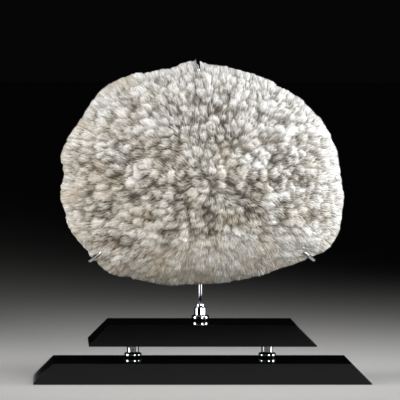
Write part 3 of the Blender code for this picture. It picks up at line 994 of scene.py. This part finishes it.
def makeHub(material):
    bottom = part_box("hub")[0][2]
    bodyTop, collar = turning["hubBodyTop"], turning["collar"]
    lip, rim, fillet = turning["lip"], turning["postLip"], turning["collarFillet"]
    top = bodyTop + turning["collarHeight"]
    floor = top - turning["boreDepth"]
    bore = turning["postRadius"] + stand["gap"]
    profile = [(0.0, floor), (bore, floor), (bore, top - rim), (bore + rim, top)]
    profile += upperLip(collar, top, lip) + [(collar, bodyTop + fillet), (collar + fillet, bodyTop)]
    profile += upperLip(turning["body"], bodyTop, lip) + footProfile()
    return makeTurned("hubTurned", profile, (0.0, turning["postY"], bottom), material)


def makePost(material):
    low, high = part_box("post")
    r, lip = turning["postRadius"], turning["postLip"]
    height = high[2] - low[2]
    profile = [(0.0, height)] + upperLip(r, height, lip)
    profile += [(r, lip)] + roundCorner(r - lip, lip, lip, 0, -90, 3) + [(0.0, 0.0)]
    return makeTurned("postRod", profile, (0.0, turning["postY"], low[2]), material)


def makeKnuckle(material):
    half, wide = turning["knuckleThickness"] / 2, turning["knuckleRadius"]
    r, dished = turning["knuckleRounding"], half - turning["knuckleDish"]
    profile = [(0.0, dished), (0.45 * wide, dished), (0.5 * wide, half)]
    profile += roundCorner(wide - r, half - r, r, 90, 0) + roundCorner(wide - r, r - half, r, 0, -90)
    profile += [(0.0, -half)]
    place = (0.0, turning["postY"], turning["knuckleZ"])
    return makeTurned("knuckleDisc", profile, place, material, lieDown=True)


# Claws

claw = {
    "radius": 2.2 * mm,
    "tip": 0.5,  # tip radius as a share of the wire's
    "taperPoints": 4,
    "clearance": 0.6 * mm,
    "steps": 3,
    "capSteps": 4,
    "blunt": 0.15,  # last radius of the rounded tip, as a share
    "bed": 0.25 * mm,  # room round the wire where septa are worn down
    "bedPush": 1.6,
    "bedReach": 0.05,  # metres round a claw's middle
    "angles": {"claw_top": 92.0, "claw_left": 218.5, "claw_right": -37.5},
    "pieces": {"claw_top": "clawTopWire", "claw_left": "clawLeftWire", "claw_right": "clawRightWire"},
    # From behind the rim to the tip: distance out from the rim, and y, in millimetres
    "hook": [(-15.0, 23.0), (-6.0, 22.6), (0.4, 20.0), (2.7, 14.0), (1.0, 7.0), (-3.8, 0.2), (-9.0, -5.5),
             (-13.5, -10.0)],
}


def smoothThrough(points, steps):
    path = []
    for i in range(len(points) - 1):
        p0, p1, p2 = points[max(i - 1, 0)], points[i], points[i + 1]
        p3 = points[min(i + 2, len(points) - 1)]
        for k in range(steps):
            t = k / steps
            path.append(0.5 * (2 * p1 + (p2 - p0) * t + (2 * p0 - 5 * p1 + 4 * p2 - p3) * t ** 2
                               + (3 * p1 - p0 - 3 * p2 + p3) * t ** 3))
    return path + [points[-1]]


def clearOf(tree, point, distance):
    for _ in range(3):
        near, _, _, gap = tree.find_nearest(point)
        if gap < distance:
            point = near + (point - near).normalized() * distance
    return point


def slimness(pointsLeft):
    return 1.0 - (1.0 - claw["tip"]) * max(0.0, 1.0 - pointsLeft / claw["taperPoints"])


def clawPath(angleDegrees, tree):
    angle = math.radians(angleDegrees)
    out = Vector((math.cos(angle), 0.0, math.sin(angle)))
    rim = float(outlineRadius(angle)) + coral["centre"][0] * math.cos(angle)
    centre = Vector((0.0, 0.0, turning["knuckleZ"]))
    hook = [centre + out * (rim + away * mm) + Vector((0.0, y * mm, 0.0)) for away, y in claw["hook"]]
    bend = smoothThrough(hook, claw["steps"])
    last = len(bend) - 1
    bend = [clearOf(tree, point, claw["radius"] * slimness(last - i) + claw["clearance"])
            for i, point in enumerate(bend)]
    away = turning["knuckleRadius"] + stand["gap"]
    start = centre + out * away + Vector((0.0, turning["postY"], 0.0))
    return [start] + bend


def coralTree():
    work = bmesh.new()
    work.from_mesh(bpy.data.objects["coral"].data)
    bmesh.ops.remove_doubles(work, verts=work.verts, dist=0.000001)
    tree = BVHTree.FromBMesh(work)
    work.free()
    return tree


def makeClaw(node, path, material):
    curve = bpy.data.curves.new(node, "CURVE")
    curve.dimensions = "3D"
    curve.bevel_depth = claw["radius"]
    curve.bevel_resolution = 6
    curve.use_fill_caps = True
    # The solid wire's points and taper, rounded off at the very tip
    steps, caps = claw["steps"], claw["capSteps"]
    fine = [path[0]] + smoothThrough(path[1:], steps)[:-1]
    wires = [slimness(len(path) - 1 - i) for i in range(len(path))]
    slim = [1.0] + [wires[i] * (1 - k / steps) + wires[i + 1] * (k / steps)
                    for i in range(1, len(path) - 1) for k in range(steps)]
    tip = claw["radius"] * wires[-1]
    onward = (path[-1] - path[-2]).normalized()
    for k in range(caps + 1):
        turn = math.radians(90.0 / caps * k)
        fine.append(path[-1] - onward * (tip * (1 - math.sin(turn))))
        slim.append(wires[-1] * max(math.cos(turn), claw["blunt"]))
    spline = curve.splines.new("POLY")
    spline.points.add(len(fine) - 1)
    for point, place, size in zip(spline.points, fine, slim):
        point.co = (*place, 1.0)
        point.radius = size
    name = claw["pieces"][node]
    holder = linkObject(name + "Curve", curve)
    mesh = finalMesh(holder, name)
    faceOutward(mesh, merge=0.00001)
    smoothUnder(mesh, 50.0)
    return linkObject(name, mesh, material)


def clearClaws(piece, paths):
    # Septa under a claw are worn down to let the wire lie on them
    mesh = piece.data
    points = np.empty(len(mesh.vertices) * 3, np.float32)
    mesh.vertices.foreach_get("co", points)
    points = points.reshape(-1, 3)
    reach = claw["radius"] + claw["bed"]
    centre = np.array([coral["centre"][0], coral["rimY"], coral["centre"][1]])
    for path in paths:
        line = np.array([tuple(p) for p in path[1:]])
        close = np.where(np.linalg.norm(points - line.mean(0), axis=1) < claw["bedReach"])[0]
        if not len(close):
            continue
        part = points[close]
        gap = np.linalg.norm(part[:, None] - line[None], axis=2).min(1)
        push = np.clip(reach - gap, 0.0, None) * claw["bedPush"]
        points[close] = part + unit(centre - part) * push[:, None]
    mesh.vertices.foreach_set("co", points.ravel())
    mesh.update()


# Studio

studio = {
    "floorHalf": 40.0,
    "floorColour": "#C9C6C1",
    "worldColour": "#202123",
    "worldStrength": 0.12,
    "aim": (0.0, 0.0, 0.24),
    # Name, place, width, height, power, colour, and the angle that its honeycomb grid lets through
    "lights": [
        ("keyRight", (1.1, -0.9, 1.7), 1.0, 1.0, 2.9, "#F4F8FF", 60.0),
        ("stripRight", (1.5, -0.1, 0.62), 0.7, 1.2, 4.6, "#F6FAFF", 70.0),
        ("stripLeft", (-1.5, -0.3, 0.62), 0.7, 1.2, 4.4, "#FBFCFF", 70.0),
        ("topLeft", (-0.9, -0.5, 1.9), 0.9, 0.9, 0.8, "#FFFFFF", 60.0),
        ("frontFill", (0.9, -2.1, 0.7), 0.8, 0.8, 1.35, "#FFFFFF", 30.0),
    ],
}


def makeStudio():
    half = studio["floorHalf"]
    corners = [(-half, -half, 0), (half, -half, 0), (half, half, 0), (-half, half, 0)]
    mesh = newMesh("studioFloor", corners, [(0, 1, 2, 3)])
    colour = srgb(studio["floorColour"])
    # Matte painted floor, rolled on
    material, _, _ = newMaterial("paleFloor", {"Roughness": 0.7, "Base Color": colour})
    floor = linkObject("studioFloor", mesh, material)
    world = bpy.data.worlds.new("studioWorld")
    world.use_nodes = True
    background = world.node_tree.nodes["Background"]
    background.inputs["Color"].default_value = srgb(studio["worldColour"])
    background.inputs["Strength"].default_value = studio["worldStrength"]
    scene.world = world
    scene.view_settings.view_transform = "Standard"
    for name, place, wide, high, power, hexColor, grid in studio["lights"]:
        data = bpy.data.lights.new(name, "AREA")
        data.shape = "RECTANGLE"
        data.size = wide
        data.size_y = high
        data.energy = power
        data.spread = math.radians(grid)
        data.color = srgb(hexColor)[:3]
        light = linkObject(name, data)
        light.location = place
        toAim = Vector(studio["aim"]) - Vector(place)
        light.rotation_euler = toAim.to_track_quat("-Z", "Y").to_euler()


# Build

def rideOn(piece, slot, *nodes):
    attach(piece, "root")
    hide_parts(*nodes)


def main():
    makeCamera()
    makeStudio()
    print("camera and studio ready")

    aragonite = bleachedAragonite()
    acrylic = polishedAcrylic()
    chrome = polishedChrome()

    for name, node, length in stand["slabs"]:
        rideOn(makeSlab(name, node, length, acrylic), "black_acrylic", node)
    for name, node, x in stand["spacers"]:
        rideOn(makeSpacer(name, node, x, chrome), "chrome_plate", node)
    for make, node in ((makeHub, "hub"), (makePost, "post"), (makeKnuckle, "knuckle")):
        rideOn(make(chrome), "chrome_plate", node)
    tree = coralTree()
    paths = []
    for node, angle in claw["angles"].items():
        path = clawPath(angle, tree)
        paths.append(path)
        rideOn(makeClaw(node, path, chrome), "chrome_plate", node)
    print("stand and claws ready")

    tufts = placeTufts()
    front = makeSkin(aragonite, tufts)
    clearClaws(front, paths)
    rideOn(front, "coral_skeleton", "coral")
    print("coral skin ready,", len(tufts), "tufts")

    plates = makePlatesCollection()
    nodes = septaTree()
    ground = makeGround(tufts)
    rows, share, degrees = septaRows(tufts)
    inner = share < septa["middleZone"]
    left = np.abs(degrees - 180.0) < 90.0
    zones = {"septaMiddleLeft": inner & left, "septaMiddleRight": inner & ~left}
    quarters = ("septaUpperRight", "septaUpperLeft", "septaLowerLeft", "septaLowerRight")
    for i, name in enumerate(quarters):
        zones[name] = ~inner & (np.minimum(degrees // 90.0, 3) == i)
    for name, inside in zones.items():
        part = [values[inside] for values in rows]
        piece = growPlates(name, part, nodes, plates, aragonite, {"Ground": ground})
        clearClaws(piece, paths)
        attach(piece, "root")
        print(name, "ready,", int(inside.sum()), "septa,", len(piece.data.polygons), "faces")
    ribs = growPlates("costaeBack", costaRows(), nodes, plates, aragonite, {
        "Tooth": 0.6 * mm, "Wobble": 1.2 * mm, "Full height": 3.4 * mm})
    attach(ribs, "root")
    print("ribs of the back ready,", len(ribs.data.polygons), "faces")
    for item in [ground, *plates.objects]:
        bpy.data.objects.remove(item)
    bpy.data.collections.remove(plates)


main()
